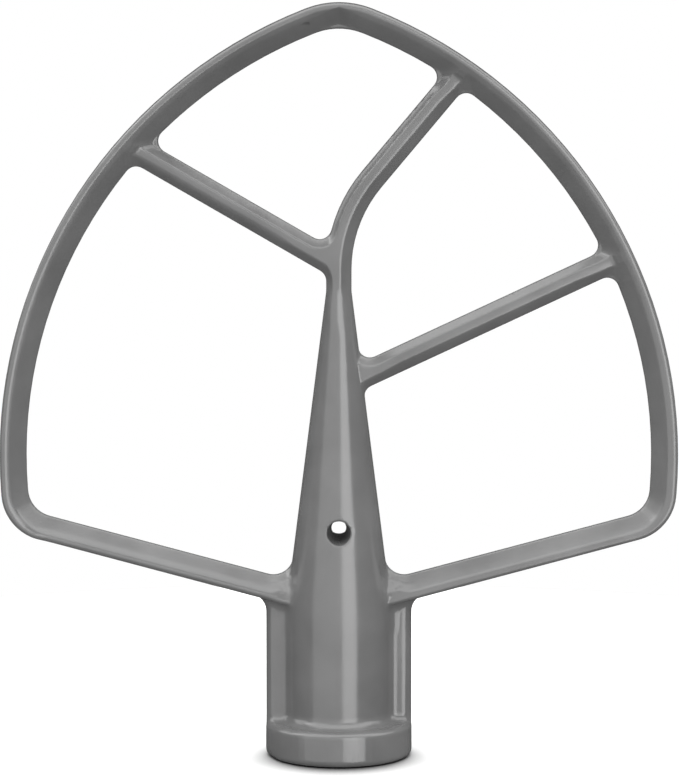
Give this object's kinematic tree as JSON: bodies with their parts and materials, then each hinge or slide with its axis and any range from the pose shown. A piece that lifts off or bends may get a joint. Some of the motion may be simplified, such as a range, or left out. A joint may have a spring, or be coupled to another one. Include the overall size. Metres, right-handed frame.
{
  "type": "stand mixer flat beater",
  "caption": "One-piece cast flat beater for a tilt-head stand mixer: pointed arch ring on a V of two bars, slanted struts, tapered hub with a bored and slotted drive collar.",
  "frame": {"origin": "centre of the hub's end face, where the bore opens, on the hub's axis", "axes": "+Z along the hub's axis from the bore's mouth to the tip of the arch, +X to the viewer's right in the picture, Y across the casting's thickness"},
  "size_m": [0.142, 0.0308, 0.158],
  "materials": {
    "coated_casting": "satin"
  },
  "bodies": {
    "root": {"flat_beater": "coated_casting"}
  },
  "joints": []
}
